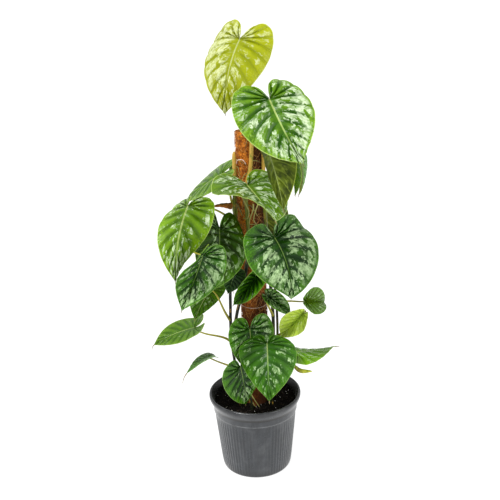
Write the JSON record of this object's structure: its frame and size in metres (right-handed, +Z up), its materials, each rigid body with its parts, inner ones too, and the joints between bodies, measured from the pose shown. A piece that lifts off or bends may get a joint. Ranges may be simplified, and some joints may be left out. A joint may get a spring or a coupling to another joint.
{
  "type": "potted silver leaf philodendron",
  "caption": "Climbing philodendron with heart-shaped, silver-mottled leaves on a coir pole, in a dark grey ribbed plastic nursery pot.",
  "frame": {"origin": "centre of the pot's flat base, on its underside", "axes": "+Z up along the pot's axis; -Y towards the side of the plant that the picture shows; +X to the right seen from there"},
  "size_m": [0.3859, 0.3352, 0.9555],
  "materials": {
    "pot_plastic": "satin",
    "soil": "rough",
    "coir": "rough fibre",
    "stake_wood": "rough",
    "stem": "satin",
    "leaf_young": "satin",
    "leaf_light": "satin",
    "leaf_mature": "satin",
    "dry_leaf": "matt"
  },
  "bodies": {
    "root": {"pot": "pot_plastic", "soil": "soil", "coir_sleeve": "coir", "pole_stake": "stake_wood", "stem_left": "stem", "stem_front": "stem", "stem_right": "stem", "stem_outer_right": "stem", "stem_back": "stem", "leaf_crown": "leaf_young", "leaf_shoulder": "leaf_light", "leaf_right_hanging": "leaf_mature", "leaf_right_edge": "leaf_light", "leaf_right_curled": "leaf_mature", "leaf_collar": "leaf_light", "leaf_left_shoulder": "leaf_light", "leaf_left_upper": "leaf_mature", "leaf_left_behind": "leaf_light", "leaf_left_inner": "leaf_mature", "leaf_left_middle": "leaf_mature", "leaf_breast": "leaf_mature", "leaf_left_under": "leaf_mature", "leaf_left_low": "leaf_light", "leaf_left_small": "leaf_mature", "leaf_inner_narrow": "leaf_mature", "leaf_inner_dark": "leaf_mature", "leaf_right_narrow": "leaf_mature", "leaf_right_small": "leaf_mature", "leaf_right_backlit": "leaf_young", "leaf_centre_low": "leaf_mature", "leaf_front_low": "leaf_mature", "leaf_front_left_low": "leaf_mature", "leaf_right_low": "leaf_light", "leaf_back_high": "leaf_mature", "leaf_back_middle": "leaf_mature", "leaf_back_low": "leaf_mature", "leaf_unfurling": "leaf_young", "dry_sheath": "dry_leaf"}
  },
  "joints": []
}
